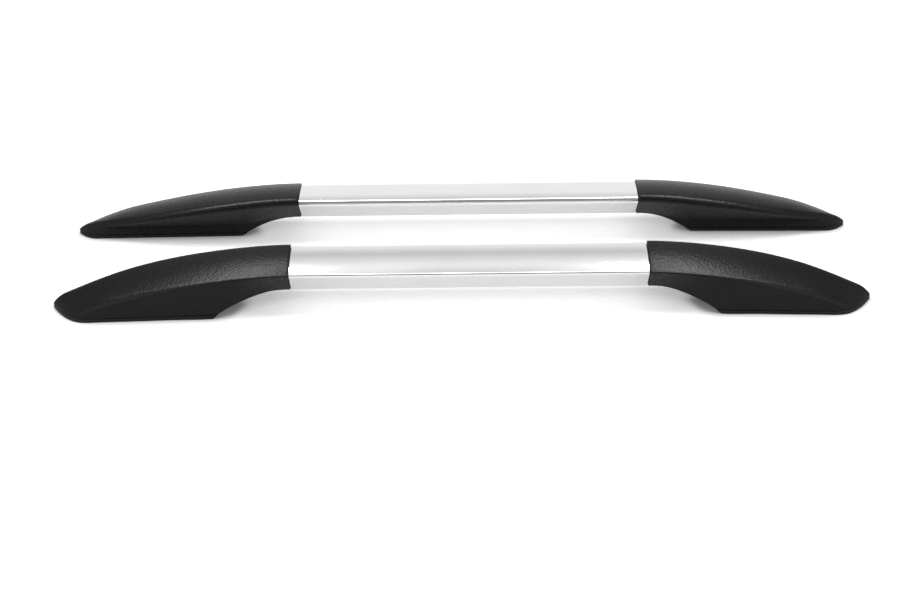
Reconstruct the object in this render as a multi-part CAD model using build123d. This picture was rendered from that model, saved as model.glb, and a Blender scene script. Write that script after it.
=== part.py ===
from build123d import *
import os
from dataclasses import dataclass
from math import pi, sin, sqrt

# Pair of vehicle roof side rails. Each rail is a hollow aluminium tube between two long moulded feet,
# whose spigots plug into its ends. Millimetres, X along the rails with the front to -X, Z up, the roof
# plane at Z = 0. The left rail lies at -Y with its outer side to -Y, and the right rail is its mirror
# image about the XZ plane.
#
# One rail is drawn about its own centre line in coordinates (u, z), with u pointing outwards (-Y).
# A foot is drawn with its mouth at x = 0 and its toe at +x, then placed at either end of the tube.

# Lengths along the rail
FRONT_FOOT_LENGTH = 294.0
REAR_FOOT_LENGTH = 274.0
VISIBLE_TUBE = 432.0
RAIL_SPACING = 159.0

# Mouth of the foot: the corners of the outline that the tube's section follows
CREASE_U = 30.0
CREASE_Z = 57.5
INNER_EDGE_U = -35.0
INNER_EDGE_Z = 67.1
CROWN = 3.8
MOUTH_BASE_Z = 26.8
MOUTH_BASE_OUTER_U = 13.0
MOUTH_BASE_INNER_U = -4.5
INNER_EDGE_ROUND = 12.0
CREASE_ROUND = 1.5

# Shadow gap between the mouth and the tube, and the chamfer behind it
REVEAL_WIDTH = 1.2
REVEAL_DEPTH = 1.6
MOUTH_CHAMFER = 0.6

# Tube, which stands against the foot's mouth, and the spigot of the foot that plugs into it
TUBE_STEP = 0.5
TUBE_WALL = 2.0
TUBE_EDGE_DROP = 2.5
TUBE_EDGE_ROUND = 5.2
TUBE_CREASE_ROUND = 2.5
TUBE_BASE_ROUND = 1.2
SPIGOT_CLEARANCE = 0.15
SPIGOT_LENGTH = 45.0
SPIGOT_WALL = 4.0

# Run of the foot from the mouth to the toe
FALL_POWER = 1.7
TOE_TOP_Z = 13.5
TOE_CREASE_Z = 6.5
TOE_CREASE_POWER = 8.0
CREASE_FALL_POWER = 1.78
CREASE_SPREAD = 10.4
CREASE_SPREAD_POWER = 1.45
INNER_SWEEP_POWER = 4.8
TOE_CREASE_ROUND = 18.0
CREASE_FADE_POWER = 2.0
TIP_U = 5.0
OUTER_NOSE = 45.0
CREASE_NOSE = 80.0
INNER_NOSE = 25.0
TIP_ROUND = 14.0
TIP_BLUNT = 0.6

# Base of the foot, with a skirt that flares out to the roof
BASE_OUTER_U = 31.8
BASE_OUTER_FLARE = 10.4
BASE_INNER_U = -6.0
BASE_INNER_FLARE = 4.5
SKIRT_HEIGHT = 7.0
SKIRT_OUTER = 2.5
SKIRT_INNER = 3.5
SKIRT_ROUND = 6.0

# Arch under the mouth, which meets the roof at the heel
ARCH_START = 5.0
ARCH_OUTER_RUN = 26.0
ARCH_INNER_RUN = 48.0
ARCH_MARGIN = 14.0
FRONT_HEEL = 94.0
REAR_HEEL = 88.0
HEEL_LEAN = 14.0
ONTO_ROOF_POWER = 3.0

# Hollow of the foot
FOOT_WALL = 3.0
MOUTH_WALL = 6.0
HOLLOW_TOE_GAP = 28.0
BOSS_RADIUS = 4.5
RIB_THICKNESS = 2.5

# Gasket, mounting plate and fasteners
GASKET_THICKNESS = 4.0
GASKET_LIP = 0.2
PLATE_THICKNESS = 3.0
PLATE_CLEARANCE = 0.5
PLATE_CENTRE_U = 14.0
FRONT_BOLT_SPACING = 80.0
REAR_BOLT_SPACING = 70.0
BOLT_THREAD_RADIUS = 3.0
BOLT_HOLE_RADIUS = 3.3
NUT_ACROSS_FLATS = 10.0
NUT_HEIGHT = 5.0
NUT_CHAMFER = 0.6
PLATE_SCREW_INSET = 14.0
PLATE_SCREW_HALF_SPAN = 10.5
PLATE_SCREW_RADIUS = 2.0
PLATE_SCREW_HEAD_RADIUS = 3.8
PLATE_SCREW_GRIP = 6.5
SCREW_CLEARANCE = 0.1
TUBE_SCREW_INSET = 13.5
TUBE_SCREW_RADIUS = 2.0
TUBE_SCREW_HEAD_RADIUS = 4.0
TUBE_SCREW_HEAD_HEIGHT = 2.4
TUBE_SCREW_HEAD_CHAMFER = 0.9
TUBE_SCREW_LENGTH = 9.0

# Roundings: how full one is, how much of a side it may take, and the least fillet
ROUND_FULLNESS = 0.55
ROUND_SHARE = 0.45
SKIRT_SHARE = 0.45
LEAST_ROUND = 0.3

# Numbers of sections in the lofts
HEEL_STEPS = 4
WAIST_STEPS = 3
NOSE_STEPS = 8
CORE_STEPS = 8

BASE_Z = GASKET_THICKNESS
PLATE_TOP_Z = BASE_Z + PLATE_THICKNESS
MOUTH_EDGE = REVEAL_WIDTH + MOUTH_CHAMFER
TUBE_BASE_Z = MOUTH_BASE_Z + TUBE_STEP
TUBE_SCREW_TIP_Z = TUBE_BASE_Z + TUBE_SCREW_LENGTH
TUBE_CENTRE_U = (MOUTH_BASE_OUTER_U + MOUTH_BASE_INNER_U) / 2
UNDERCUT = 2 * GASKET_THICKNESS
REACH = 2 * INNER_EDGE_Z
RAIL_LENGTH = FRONT_FOOT_LENGTH + VISIBLE_TUBE + REAR_FOOT_LENGTH
FRONT_MOUTH_X = FRONT_FOOT_LENGTH - RAIL_LENGTH / 2
REAR_MOUTH_X = RAIL_LENGTH / 2 - REAR_FOOT_LENGTH
UPWARD = (Align.CENTER, Align.CENTER, Align.MIN)


@dataclass(frozen=True)
class FootSize:
    """What differs between the front and the rear foot."""

    length: float
    heel: float
    bolt_spacing: float

    @property
    def hollow_end(self):
        return self.length - HOLLOW_TOE_GAP

    @property
    def plate_screw_rows(self):
        """Stations of the plate screws near the heel and near the toe."""
        fit = PLATE_CLEARANCE + PLATE_SCREW_INSET
        return [self.heel + FOOT_WALL + fit, self.hollow_end - fit]

    @property
    def plate_screws(self):
        half = PLATE_SCREW_HALF_SPAN
        return [(x, PLATE_CENTRE_U + side * half) for x in self.plate_screw_rows for side in (-1, 1)]

    @property
    def bolts(self):
        """Places of the two roof bolts, about the middle of the plate."""
        middle = sum(self.plate_screw_rows) / 2
        return [(middle + side * self.bolt_spacing / 2, PLATE_CENTRE_U) for side in (-1, 1)]


def mix(first, second, share):
    return first + (second - first) * share


def at(x, point):
    """The section point (u, z) at the station x, in space."""
    return Vector(x, -point.X, point.Y)


def toward(start, end, distance):
    """The point at a distance from start towards end, within the share a rounding may take."""
    side = end - start
    return start + side * min(distance / side.length, ROUND_SHARE)


def along_side(top, low, z):
    """The point at the height z on the line through top and low."""
    return mix(top, low, (z - top.Y) / (low.Y - top.Y))


def inset_corners(corners, inset):
    """Corners of a clockwise outline after each side moves inwards by the inset."""
    ends = corners[1:] + corners[:1]
    sides = [(end - corner).normalized() for corner, end in zip(corners, ends)]
    normals = [Vector(side.Y, -side.X) for side in sides]
    moved = []
    for i, corner in enumerate(corners):
        before = normals[i - 1]
        after = normals[i]
        moved.append(corner + (before + after) * (inset / (1 + before.dot(after))))
    return moved


def crown_point(edge, crease, share):
    """A point on the crowned top, from the inner edge at 0 to the crease at 1."""
    side = crease - edge
    mouth_width = Vector(CREASE_U - INNER_EDGE_U, CREASE_Z - INNER_EDGE_Z).length
    height = CROWN * side.length / mouth_width
    up = Vector(-side.Y, side.X).normalized()
    return mix(edge, crease, share) + up * (4 * height * share * (1 - share))


def nose_share(from_tip, length):
    """How much of its full width a side has at a distance from the tip."""
    return 1 - max(1 - from_tip / length, 0) ** 2


def mouth_corners():
    """Corners of the foot's mouth, clockwise from the inner edge."""
    return [
        Vector(INNER_EDGE_U, INNER_EDGE_Z),
        Vector(CREASE_U, CREASE_Z),
        Vector(MOUTH_BASE_OUTER_U, MOUTH_BASE_Z),
        Vector(MOUTH_BASE_INNER_U, MOUTH_BASE_Z),
    ]


def top_corners(size, x):
    """Inner edge and crease at the station x: both fall to the toe and close in on its tip."""
    share = x / size.length
    from_tip = size.length + TIP_BLUNT - x
    tip_drop = sqrt(1 - max(1 - from_tip / TIP_ROUND, 0) ** 2)
    edge_u = mix(INNER_EDGE_U, TIP_U, share**INNER_SWEEP_POWER)
    edge_z = mix(INNER_EDGE_Z, TOE_TOP_Z, share**FALL_POWER)
    crease_u = CREASE_U + CREASE_SPREAD * share**CREASE_SPREAD_POWER
    crease_u = mix(TIP_U, crease_u, nose_share(from_tip, CREASE_NOSE))
    crease_z = CREASE_Z * (1 - share**CREASE_FALL_POWER) + TOE_CREASE_Z * share**TOE_CREASE_POWER
    edge = Vector(edge_u, mix(BASE_Z, edge_z, tip_drop))
    crease = Vector(crease_u, mix(BASE_Z, crease_z, tip_drop))
    return edge, crease


def side_corners(top, base_u, skirt, mouth_top, mouth_low, onto_roof):
    """Knee and foot of one side, which stands on the roof past the heel and hangs free at the mouth."""
    knee_z = BASE_Z + min(SKIRT_HEIGHT, SKIRT_SHARE * (top.Y - BASE_Z))
    knee = mix(along_side(mouth_top, mouth_low, TUBE_BASE_Z), Vector(base_u - skirt, knee_z), onto_roof)
    free_low = along_side(mouth_top, mouth_low, MOUTH_BASE_Z - UNDERCUT)
    low = mix(free_low, Vector(base_u, BASE_Z - UNDERCUT), onto_roof)
    return knee, low


def foot_corners(size, x, inset=0.0):
    """Corners of the foot's section at the station x, clockwise from the inner edge."""
    share = x / size.length
    from_tip = size.length + TIP_BLUNT - x
    edge, crease = top_corners(size, x)
    outer = nose_share(from_tip, OUTER_NOSE)
    inner = nose_share(from_tip, INNER_NOSE)
    outer_u = mix(TIP_U, BASE_OUTER_U + BASE_OUTER_FLARE * share, outer)
    inner_u = mix(TIP_U, BASE_INNER_U - BASE_INNER_FLARE * share, inner)
    onto_roof = sin(pi / 2 * min(x / size.heel, 1)) ** ONTO_ROOF_POWER
    mouth_edge, mouth_crease, mouth_outer, mouth_inner = mouth_corners()
    outer_knee, outer_low = side_corners(
        crease, outer_u, SKIRT_OUTER * outer, mouth_crease, mouth_outer, onto_roof
    )
    inner_knee, inner_low = side_corners(
        edge, inner_u, -SKIRT_INNER * inner, mouth_edge, mouth_inner, onto_roof
    )
    return inset_corners([edge, crease, outer_knee, outer_low, inner_low, inner_knee], inset)


def rounding(x, start, corner, end):
    """A rounded corner at the station x, tangent to both of its sides."""
    first = mix(start, corner, ROUND_FULLNESS)
    second = mix(end, corner, ROUND_FULLNESS)
    return Bezier(at(x, start), at(x, first), at(x, second), at(x, end))


def foot_section(size, x, inset=0.0):
    """Closed outline of the moulding at the station x, with its corners rounded."""
    edge, crease, outer_knee, outer_low, inner_low, inner_knee = foot_corners(size, x, inset)
    width = (crease - edge).length
    crease_round = mix(CREASE_ROUND, TOE_CREASE_ROUND, (x / size.length) ** CREASE_FADE_POWER)
    top_start = crown_point(edge, crease, min(INNER_EDGE_ROUND / width, ROUND_SHARE))
    top_end = crown_point(edge, crease, 1 - min(crease_round / width, ROUND_SHARE))
    crease_end = toward(crease, outer_knee, crease_round)
    outer_start = toward(outer_knee, crease, SKIRT_ROUND)
    outer_end = toward(outer_knee, outer_low, SKIRT_ROUND)
    inner_start = toward(inner_knee, inner_low, SKIRT_ROUND)
    inner_end = toward(inner_knee, edge, SKIRT_ROUND)
    edge_start = toward(edge, inner_knee, INNER_EDGE_ROUND)
    return Wire(
        [
            ThreePointArc(at(x, top_start), at(x, crown_point(edge, crease, 0.5)), at(x, top_end)),
            rounding(x, top_end, crease, crease_end),
            Line(at(x, crease_end), at(x, outer_start)),
            rounding(x, outer_start, outer_knee, outer_end),
            Line(at(x, outer_end), at(x, outer_low)),
            Line(at(x, outer_low), at(x, inner_low)),
            Line(at(x, inner_low), at(x, inner_start)),
            rounding(x, inner_start, inner_knee, inner_end),
            Line(at(x, inner_end), at(x, edge_start)),
            rounding(x, edge_start, edge, top_start),
        ]
    )


def foot_stations(size):
    """Stations of the moulding's sections, closer together where the nose turns in."""
    nose_start = size.length - CREASE_NOSE
    heel = [mix(MOUTH_EDGE, size.heel, step / HEEL_STEPS) for step in range(HEEL_STEPS)]
    waist = [mix(size.heel, nose_start, step / WAIST_STEPS) for step in range(WAIST_STEPS)]
    nose = [mix(size.length, nose_start, (step / NOSE_STEPS) ** 2) for step in range(NOSE_STEPS, -1, -1)]
    return heel + waist + nose


def foot_envelope(size, inset=0.0):
    """The moulding's outer form, running on below the roof plane."""
    return Solid.make_loft([foot_section(size, x, inset) for x in foot_stations(size)])


def foot_core(size, start, end, inset):
    """A plain form inside the moulding, at the inset from its outside."""
    outlines = []
    for step in range(CORE_STEPS + 1):
        x = mix(start, end, step / CORE_STEPS)
        corners = [at(x, corner) for corner in foot_corners(size, x, inset)]
        outlines.append(Wire(Polyline(*corners, close=True)))
    return Solid.make_loft(outlines)


def arch_profile(size, u, raised):
    """Side outline of the space under the mouth, in the plane at u."""
    inward = (BASE_OUTER_U - u) / (BASE_OUTER_U - BASE_INNER_U)
    heel = size.heel + raised - HEEL_LEAN * inward
    run = mix(ARCH_OUTER_RUN, ARCH_INNER_RUN, inward)
    top = MOUTH_BASE_Z + raised
    start = (-ARCH_START, -u, top)
    crown = (ARCH_START, -u, top)
    bend = (heel - run, -u, top)
    foot = (heel, -u, 0)
    low_heel = (heel, -u, -REACH)
    low_start = (-ARCH_START, -u, -REACH)
    return Wire(
        [
            Line(start, crown),
            Bezier(crown, bend, foot),
            Line(foot, low_heel),
            Line(low_heel, low_start),
            Line(low_start, start),
        ]
    )


def arch_space(size, raised=0.0):
    """The space under the mouth, which comes further towards the mouth on the inner side."""
    planes = (BASE_OUTER_U + ARCH_MARGIN, BASE_INNER_U - ARCH_MARGIN)
    return Solid.make_loft([arch_profile(size, u, raised) for u in planes], ruled=True)


def upright(radius, low, high, x, u):
    """A round pin from the height low to the height high."""
    return Pos(x, -u, low) * Cylinder(radius, high - low, align=UPWARD)


def along_rail(outline, start, end):
    """A section in (u, z) drawn out along X from start to end."""
    plane = Plane(origin=(start, 0, 0), x_dir=(0, -1, 0), z_dir=(-1, 0, 0))
    return extrude(plane * outline, amount=end - start, dir=(1, 0, 0))


def level_cut(form, z, thickness):
    """A plate with the outline that a form has at the height z, drawn upwards from there."""
    sheet = Pos(0, 0, z) * Rectangle(2 * RAIL_LENGTH, REACH)
    return extrude(sheet & form, amount=thickness, dir=(0, 0, 1))


def tube_outline(inset):
    """Section of the tube, or of a space in it, at an inset from the foot's mouth."""
    mouth_edge, *others = mouth_corners()
    corners = inset_corners([mouth_edge - Vector(0, TUBE_EDGE_DROP), *others], inset)
    edge, crease, outer, inner = corners
    top = ThreePointArc(edge, crown_point(edge, crease, 0.5), crease)
    outline = make_face([top, Polyline(crease, outer, inner, edge)])
    rounds = (TUBE_EDGE_ROUND, TUBE_CREASE_ROUND, TUBE_BASE_ROUND, TUBE_BASE_ROUND)
    for corner, radius in zip(corners, rounds):
        vertex = outline.vertices().sort_by_distance(corner)[0]
        outline = fillet(vertex, max(radius + TUBE_STEP - inset, LEAST_ROUND))
    return outline


def tube_screw_places():
    """Stations of the screws that go up through the tube into the foot's spigot, near its two ends."""
    return [-TUBE_SCREW_INSET, TUBE_SCREW_INSET - SPIGOT_LENGTH]


def tube_screw_hole(x):
    """Clearance hole for a tube screw, through the tube's and the spigot's lower walls."""
    radius = TUBE_SCREW_RADIUS + SCREW_CLEARANCE
    return upright(radius, TUBE_BASE_Z, TUBE_SCREW_TIP_Z, x, TUBE_CENTRE_U)


def foot_hollow(size):
    """The moulding's open underside, around the bosses and ribs that stand in it."""
    hollow = foot_core(size, MOUTH_WALL, size.hollow_end, FOOT_WALL) - arch_space(size, FOOT_WALL)
    for x in size.plate_screw_rows:
        rib = Box(RIB_THICKNESS, 2 * PLATE_SCREW_HALF_SPAN, REACH, align=UPWARD)
        hollow -= Pos(x, -PLATE_CENTRE_U, PLATE_TOP_Z + NUT_HEIGHT) * rib
    for x, u in size.plate_screws:
        hollow -= upright(BOSS_RADIUS, PLATE_TOP_Z, REACH, x, u)
    return hollow


def make_mouth(size):
    """The end of the moulding at the tube: a neck in the shadow gap, and the chamfer behind it."""
    neck = [foot_section(size, x, REVEAL_DEPTH) for x in (0, REVEAL_WIDTH)]
    lip = [foot_section(size, REVEAL_WIDTH, MOUTH_CHAMFER), foot_section(size, MOUTH_EDGE)]
    open_neck = Solid.make_loft(neck, ruled=True) - arch_space(size, REVEAL_DEPTH)
    return open_neck + Solid.make_loft(lip, ruled=True)


def make_foot(size):
    """Hollow moulding with its mouth, spigot, bosses and ribs."""
    body = foot_envelope(size) + make_mouth(size) - arch_space(size)
    body -= Pos(0, 0, BASE_Z - REACH) * Box(2 * RAIL_LENGTH, REACH, REACH, align=UPWARD)

    spigot_fit = TUBE_STEP + TUBE_WALL + SPIGOT_CLEARANCE
    spigot = along_rail(tube_outline(spigot_fit), -SPIGOT_LENGTH, MOUTH_EDGE)
    spigot -= along_rail(tube_outline(spigot_fit + SPIGOT_WALL), -SPIGOT_LENGTH, 0)
    body = body + spigot - foot_hollow(size)

    pilot_top = PLATE_TOP_Z + PLATE_SCREW_GRIP + SCREW_CLEARANCE
    for x, u in size.plate_screws:
        body -= upright(PLATE_SCREW_RADIUS + SCREW_CLEARANCE, PLATE_TOP_Z, pilot_top, x, u)
    for x in tube_screw_places():
        body -= tube_screw_hole(x)
    return body


def make_gasket(size):
    """Sealing pad under the foot, a little wider than the moulding."""
    pad = level_cut(foot_envelope(size, -GASKET_LIP), 0, GASKET_THICKNESS) - arch_space(size)
    for x, u in size.bolts:
        pad -= upright(BOLT_HOLE_RADIUS, 0, GASKET_THICKNESS, x, u)
    return pad


def countersunk_screw(x, u, growth=0.0):
    """Plate screw with its head flush in the plate, or its hole when it is grown by a clearance."""
    head = PLATE_SCREW_HEAD_RADIUS + growth
    shank = PLATE_SCREW_RADIUS + growth
    top = PLATE_TOP_Z + PLATE_SCREW_GRIP
    neck = BASE_Z + head - shank
    outline = Polyline((0, BASE_Z), (head, BASE_Z), (shank, neck), (shank, top), (0, top), close=True)
    return Pos(x, -u, 0) * revolve(Plane.XZ * make_face(outline), Axis.Z)


def make_plate(size):
    """Steel plate that closes the hollow and carries the bolt nuts."""
    fit = FOOT_WALL + PLATE_CLEARANCE
    core = foot_core(size, MOUTH_WALL, size.hollow_end - PLATE_CLEARANCE, fit)
    plate = level_cut(core, PLATE_TOP_Z, -PLATE_THICKNESS) - arch_space(size, fit)
    for x, u in size.bolts:
        plate -= upright(BOLT_HOLE_RADIUS, BASE_Z, PLATE_TOP_Z, x, u)
    for x, u in size.plate_screws:
        plate -= countersunk_screw(x, u, SCREW_CLEARANCE)
    return plate


def make_nut(x, u):
    """Hexagon nut standing on the plate."""
    nut = extrude(RegularPolygon(NUT_ACROSS_FLATS / 2, 6, major_radius=False), NUT_HEIGHT)
    nut = chamfer(nut.faces().sort_by(Axis.Z)[-1].edges(), NUT_CHAMFER)
    nut -= upright(BOLT_THREAD_RADIUS, 0, NUT_HEIGHT, 0, 0)
    return Pos(x, -u, PLATE_TOP_Z) * nut


def make_tube_screw(x):
    """Pan-head screw with its head under the tube and its shank in the spigot."""
    low = TUBE_BASE_Z - TUBE_SCREW_HEAD_HEIGHT
    head = upright(TUBE_SCREW_HEAD_RADIUS, low, TUBE_BASE_Z, x, TUBE_CENTRE_U)
    head = chamfer(head.edges().group_by(Axis.Z)[0], TUBE_SCREW_HEAD_CHAMFER)
    return head + upright(TUBE_SCREW_RADIUS, TUBE_BASE_Z, TUBE_SCREW_TIP_Z, x, TUBE_CENTRE_U)


def make_tube():
    """Hollow extrusion with the clearance holes of its screws."""
    tube = along_rail(tube_outline(TUBE_STEP), FRONT_MOUTH_X, REAR_MOUTH_X)
    tube -= along_rail(tube_outline(TUBE_STEP + TUBE_WALL), FRONT_MOUTH_X, REAR_MOUTH_X)
    for x in tube_screw_places():
        tube -= tube_screw_hole(FRONT_MOUTH_X - x)
        tube -= tube_screw_hole(REAR_MOUTH_X + x)
    return tube


def make_foot_set(size):
    """All the pieces at one end of a rail, with the mouth at x = 0 and the toe at +x."""
    return {
        "foot": make_foot(size),
        "gasket": make_gasket(size),
        "mounting_plate": make_plate(size),
        "plate_screws": Compound([countersunk_screw(x, u) for x, u in size.plate_screws]),
        "tube_screws": Compound([make_tube_screw(x) for x in tube_screw_places()]),
        "mounting_nuts": Compound([make_nut(x, u) for x, u in size.bolts]),
    }


def make_rail():
    """The pieces of one rail about its own centre line, outer side to -Y."""
    front = FootSize(FRONT_FOOT_LENGTH, FRONT_HEEL, FRONT_BOLT_SPACING)
    rear = FootSize(REAR_FOOT_LENGTH, REAR_HEEL, REAR_BOLT_SPACING)
    pieces = {"rail_profile": make_tube()}
    for name, piece in make_foot_set(front).items():
        pieces["front_" + name] = Pos(FRONT_MOUTH_X, 0, 0) * mirror(piece, about=Plane.YZ)
    for name, piece in make_foot_set(rear).items():
        pieces["rear_" + name] = Pos(REAR_MOUTH_X, 0, 0) * piece
    return pieces


os.makedirs("parts", exist_ok=True)
for name, piece in make_rail().items():
    left = Pos(0, -RAIL_SPACING / 2, 0) * piece
    right = mirror(left, about=Plane.XZ)
    export_step(left, "parts/left_" + name + ".step")
    export_step(right, "parts/right_" + name + ".step")
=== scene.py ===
import logging
import math
from dataclasses import dataclass, field
from enum import Enum
from typing import Any, Dict, List, Optional, Sequence, Tuple

import bmesh
import bpy
import numpy as np
from mathutils import Matrix, Vector


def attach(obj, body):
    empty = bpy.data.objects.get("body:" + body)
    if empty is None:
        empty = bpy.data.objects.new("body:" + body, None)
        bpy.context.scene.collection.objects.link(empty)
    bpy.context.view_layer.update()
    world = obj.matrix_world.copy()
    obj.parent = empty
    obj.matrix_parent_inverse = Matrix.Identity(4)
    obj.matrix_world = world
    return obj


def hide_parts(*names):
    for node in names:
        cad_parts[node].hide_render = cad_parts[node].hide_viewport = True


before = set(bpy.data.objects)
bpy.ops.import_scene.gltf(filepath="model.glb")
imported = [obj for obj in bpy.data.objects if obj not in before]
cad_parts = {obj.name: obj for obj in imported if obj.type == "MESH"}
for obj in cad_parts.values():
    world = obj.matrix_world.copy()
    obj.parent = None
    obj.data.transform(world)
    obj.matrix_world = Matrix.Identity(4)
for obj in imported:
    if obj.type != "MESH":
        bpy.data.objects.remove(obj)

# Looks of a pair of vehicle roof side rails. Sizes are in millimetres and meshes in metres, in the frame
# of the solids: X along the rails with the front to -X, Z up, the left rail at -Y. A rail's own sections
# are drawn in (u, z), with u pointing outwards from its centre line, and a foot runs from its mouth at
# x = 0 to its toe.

LOG = logging.getLogger("roof_rails")
MM = 0.001
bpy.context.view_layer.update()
# From the middle of the pair to a rail's centre line, and from a foot's mouth in to the tube.
HALF_SPACING = 79.5
TUBE_STEP = 0.5
# The share of a side that one rounding may take.
MOST_ROUND = 0.45
# The least length that is divided by.
TINY = 1e-9
Colour = Tuple[float, float, float, float]
Point = np.ndarray
# A finish's pattern: its patches of the pale colour, its blur, where that isn't even, and its height.
Pattern = Tuple[bpy.types.NodeSocket, Optional[bpy.types.NodeSocket], bpy.types.NodeSocket]


class Side(Enum):
    """The rail's side of the vehicle, with the sign of its Y."""

    LEFT = -1
    RIGHT = 1


class End(Enum):
    """The end of a rail, with the sign of the way its toe points."""

    FRONT = -1
    REAR = 1


class Slot(Enum):
    """The record's material slots."""

    ALUMINIUM = "anodised_aluminium"
    PLASTIC = "black_plastic"
    RUBBER = "gasket_rubber"
    STEEL = "zinc_steel"


def linear(colour: str) -> Colour:
    """Turns an sRGB hex colour to linear.

    Args:
        colour: The colour as "#RRGGBB".

    Returns:
        Linear red, green, blue and an alpha of 1.
    """
    channels = [int(colour[i:i + 2], 16) / 255 for i in (1, 3, 5)]
    red, green, blue = [c / 12.92 if c <= 0.04045 else ((c + 0.055) / 1.055) ** 2.4 for c in channels]
    return red, green, blue, 1.0


def add_node(
    tree: bpy.types.NodeTree,
    kind: str,
    inputs: Optional[Dict[Any, Any]] = None,
    **settings: Any,
) -> bpy.types.Node:
    """Adds a node to a tree with its settings and links.

    Args:
        tree: The shader or geometry tree.
        kind: The node's type.
        inputs: Values or sockets, by the name or number of the input that takes them.
        settings: Properties of the node.

    Returns:
        The new node.
    """
    node = tree.nodes.new(kind)
    for name, value in settings.items():
        setattr(node, name, value)
    for key, value in (inputs or {}).items():
        if isinstance(value, bpy.types.NodeSocket):
            tree.links.new(value, node.inputs[key])
        else:
            node.inputs[key].default_value = value
    return node


def blank_material(name: str) -> bpy.types.Material:
    """Makes a material with an empty tree.

    Args:
        name: The material's name.

    Returns:
        The material.
    """
    material = bpy.data.materials.new(name)
    material.use_nodes = True
    material.node_tree.nodes.clear()
    return material


@dataclass(frozen=True)
class Finish:
    """What the finishes share: two colours in soft patches, a blur and a relief too fine to be modelled.

    The roughness goes from its first value to its second over the blur's span.
    """

    name: str
    dark: str
    pale: str
    relief_mm: float
    roughness: Tuple[float, float]
    blur_span: Tuple[float, float] = (0.0, 1.0)

    def pattern(self, tree: bpy.types.NodeTree, place: bpy.types.NodeSocket) -> Pattern:
        """Draws the finish's own pattern.

        Args:
            tree: The material's tree.
            place: The socket with Object coordinates.

        Returns:
            The patches of the pale colour, the blur, if it isn't even, and the height of the relief.
        """
        raise NotImplementedError

    def shading(self) -> Dict[str, float]:
        """Gives the shader's other values, here those of a metal."""
        return {"Metallic": 1.0}

    def material(self) -> bpy.types.Material:
        """Builds the material.

        Returns:
            The material, on Object coordinates.
        """
        material = blank_material(self.name)
        tree = material.node_tree
        place = add_node(tree, "ShaderNodeTexCoord").outputs["Object"]
        patches, blur, height = self.pattern(tree, place)
        (low, high), (first, last) = self.blur_span, self.roughness
        roughness: Any = first
        if blur is not None:
            roughness = add_node(
                tree,
                "ShaderNodeMapRange",
                {"Value": blur, "From Min": low, "From Max": high, "To Min": first, "To Max": last},
            ).outputs["Result"]
        # The mix node's colours are its inputs 6 and 7 and its output 2.
        colour = add_node(
            tree,
            "ShaderNodeMix",
            {"Factor": patches, 6: linear(self.dark), 7: linear(self.pale)},
            data_type="RGBA",
        ).outputs[2]
        bump = add_node(
            tree,
            "ShaderNodeBump",
            {"Height": height, "Strength": 1.0, "Distance": self.relief_mm * MM},
        ).outputs["Normal"]
        shader = add_node(
            tree,
            "ShaderNodeBsdfPrincipled",
            {"Base Color": colour, "Roughness": roughness, "Normal": bump, **self.shading()},
        ).outputs["BSDF"]
        add_node(tree, "ShaderNodeOutputMaterial", {"Surface": shader})
        return material


@dataclass(frozen=True)
class GrainedAbs(Finish):
    """Black ABS, injection moulded in a spark-eroded tool.

    The fine grain breaks every reflection into soft speckle, so light from above gives a broad grey sheen
    on the crowned top while the sides stay near black.
    """

    name: str = "black_abs_moulded_grain"
    dark: str = "#181818"
    pale: str = "#1F1F1F"
    relief_mm: float = 0.2
    roughness: Tuple[float, float] = (0.24, 0.34)
    blur_span: Tuple[float, float] = (0.3, 0.7)
    ior: float = 1.53
    specular: float = 0.11
    grain_mm: float = 2.0
    grain_detail: float = 2.5
    grain_harshness: float = 0.6
    pit_mm: float = 2.8
    cloud_mm: float = 34.0
    cloud_detail: float = 3.0

    def shading(self) -> Dict[str, float]:
        """Gives the plastic's IOR and how strongly it mirrors."""
        return {"IOR": self.ior, "Specular IOR Level": self.specular}

    def pattern(self, tree: bpy.types.NodeTree, place: bpy.types.NodeSocket) -> Pattern:
        """Draws the grain with its pits, and clouds in the colour.

        Args:
            tree: The material's tree.
            place: The socket with Object coordinates.

        Returns:
            The clouds, the grain as blur and the height of grain and pits.
        """
        # The tool's grit is about 0.3 mm. It is drawn several times coarser, so that it shows.
        grain = add_node(
            tree,
            "ShaderNodeTexNoise",
            {
                "Vector": place,
                "Scale": 1 / (self.grain_mm * MM),
                "Detail": self.grain_detail,
                "Roughness": self.grain_harshness,
            },
        ).outputs["Fac"]
        pits = add_node(
            tree,
            "ShaderNodeTexVoronoi",
            {"Vector": place, "Scale": 1 / (self.pit_mm * MM)},
            feature="SMOOTH_F1",
        ).outputs["Distance"]
        cloud = add_node(
            tree,
            "ShaderNodeTexNoise",
            {"Vector": place, "Scale": 1 / (self.cloud_mm * MM), "Detail": self.cloud_detail},
        ).outputs["Fac"]
        height = add_node(tree, "ShaderNodeMath", {0: grain, 1: pits}, operation="ADD").outputs[0]
        return cloud, grain, height


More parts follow.
